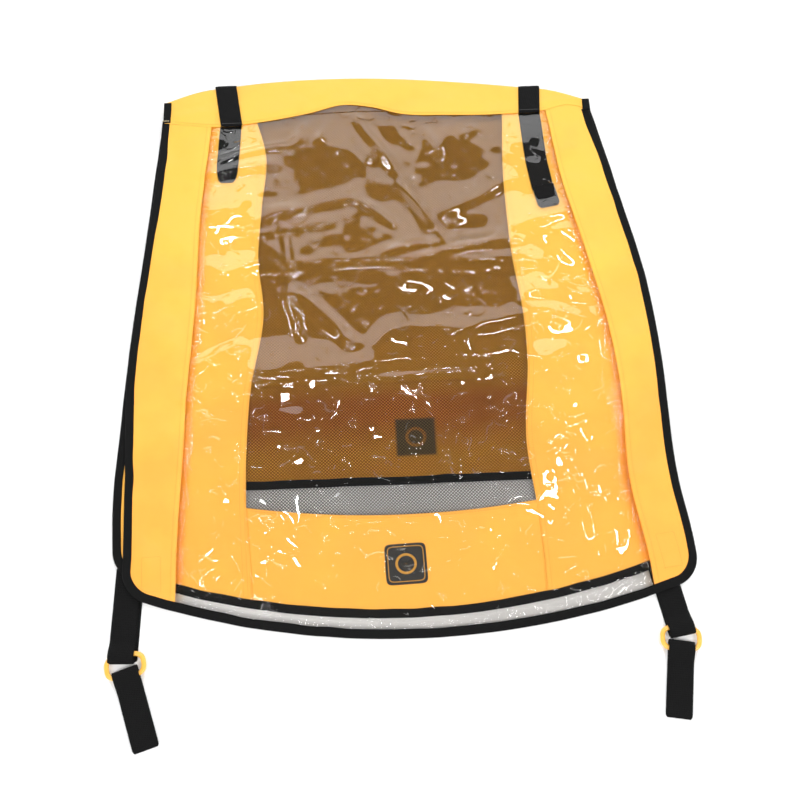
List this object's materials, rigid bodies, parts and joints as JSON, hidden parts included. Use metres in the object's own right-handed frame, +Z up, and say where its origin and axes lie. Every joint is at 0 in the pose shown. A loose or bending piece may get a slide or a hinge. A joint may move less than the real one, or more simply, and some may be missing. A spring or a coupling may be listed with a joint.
{
  "type": "child bicycle trailer cover",
  "caption": "Flat soft front cover for a child bicycle trailer: clear rain layer over an insect screen, header band, rear flap, and webbing straps with plastic rings.",
  "frame": {"origin": "on the surface that the cover lies on, below the middle of the header seam", "axes": "+X along the header seam, +Y from the layers towards the fold, +Z up from the surface"},
  "size_m": [0.5782, 0.771, 0.011],
  "materials": {
    "yellow_fabric": "coated woven polyester, bright yellow, satin",
    "black_tape": "woven binding tape, matt",
    "black_webbing": "ribbed nylon webbing, matt",
    "clear_vinyl": "soft clear film, glossy, creased",
    "black_mesh": "fine insect mesh, matt",
    "patch": "printed woven patch, satin",
    "hook_tape": "hook-and-loop tape",
    "ring_plastic": "moulded yellow plastic"
  },
  "bodies": {
    "header": {"header_band": "yellow_fabric", "header_end_binding_left": "black_tape", "header_end_binding_right": "black_tape", "roll_strap_base_left": "black_webbing", "roll_strap_base_right": "black_webbing"},
    "rear_flap": {"rear_panel": "yellow_fabric", "rear_lower_panel": "yellow_fabric", "rear_binding": "black_tape", "rear_emblem": "patch"},
    "screen_layer": {"screen_mesh": "black_mesh", "screen_side_panel_left": "yellow_fabric", "screen_side_panel_right": "yellow_fabric", "screen_bottom_band": "yellow_fabric", "screen_binding": "black_tape", "screen_emblem": "patch", "loop_patch_left": "hook_tape", "loop_patch_right": "hook_tape", "anchor_stub_left": "black_webbing", "anchor_stub_right": "black_webbing"},
    "rain_layer": {"rain_window": "clear_vinyl", "rain_side_panel_left": "yellow_fabric", "rain_side_panel_right": "yellow_fabric", "rain_binding": "black_tape", "hook_patch_left": "hook_tape", "hook_patch_right": "hook_tape"},
    "roll_strap_left": {"roll_strap_end_left": "black_webbing"},
    "anchor_strap_left": {"anchor_strap_left": "black_webbing"},
    "ring_left": {"strap_ring_left": "ring_plastic"},
    "pull_tab_left": {"pull_tab_left": "black_webbing"},
    "roll_strap_right": {"roll_strap_end_right": "black_webbing"},
    "anchor_strap_right": {"anchor_strap_right": "black_webbing"},
    "ring_right": {"strap_ring_right": "ring_plastic"},
    "pull_tab_right": {"pull_tab_right": "black_webbing"}
  },
  "joints": [
    {"name": "rear_flap_fold", "type": "hinge", "parent": "header", "child": "rear_flap", "pos_m": [0, 0.044, 0.0055], "axis": [1, 0, 0], "range_deg": [0, 180]},
    {"name": "screen_lift", "type": "hinge", "parent": "header", "child": "screen_layer", "pos_m": [0, -0.0015, 0.0113], "axis": [-1, 0, 0], "range_deg": [0, 65]},
    {"name": "rain_lift", "type": "hinge", "parent": "screen_layer", "child": "rain_layer", "pos_m": [0, -0.0015, 0.0113], "axis": [-1, 0, 0], "range_deg": [0, 110]},
    {"name": "roll_strap_left_swing", "type": "hinge", "parent": "screen_layer", "child": "roll_strap_left", "pos_m": [0, -0.0015, 0.0113], "axis": [-1, 0, 0], "range_deg": [0, 55]},
    {"name": "anchor_strap_left_bend", "type": "hinge", "parent": "screen_layer", "child": "anchor_strap_left", "pos_m": [-0.27, -0.596, 0.00405], "axis": [-1, 0, 0], "range_deg": [0, 60]},
    {"name": "ring_left_swing", "type": "hinge", "parent": "anchor_strap_left", "child": "ring_left", "pos_m": [-0.27, -0.6305, 0.00405], "axis": [-1, 0, 0], "range_deg": [0, 60]},
    {"name": "pull_tab_left_swing", "type": "hinge", "parent": "ring_left", "child": "pull_tab_left", "pos_m": [-0.27, -0.6515, 0.00405], "axis": [-1, 0, 0], "range_deg": [0, 60]},
    {"name": "roll_strap_right_swing", "type": "hinge", "parent": "screen_layer", "child": "roll_strap_right", "pos_m": [0, -0.0015, 0.0113], "axis": [-1, 0, 0], "range_deg": [0, 55]},
    {"name": "anchor_strap_right_bend", "type": "hinge", "parent": "screen_layer", "child": "anchor_strap_right", "pos_m": [0.27, -0.596, 0.00405], "axis": [-1, 0, 0], "range_deg": [0, 60]},
    {"name": "ring_right_swing", "type": "hinge", "parent": "anchor_strap_right", "child": "ring_right", "pos_m": [0.27, -0.6305, 0.00405], "axis": [-1, 0, 0], "range_deg": [0, 60]},
    {"name": "pull_tab_right_swing", "type": "hinge", "parent": "ring_right", "child": "pull_tab_right", "pos_m": [0.27, -0.6515, 0.00405], "axis": [-1, 0, 0], "range_deg": [0, 60]}
  ],
  "couplings": [
    {"joint": "roll_strap_left_swing", "follows": "rain_lift", "ratio": 0.5},
    {"joint": "roll_strap_right_swing", "follows": "rain_lift", "ratio": 0.5}
  ]
}
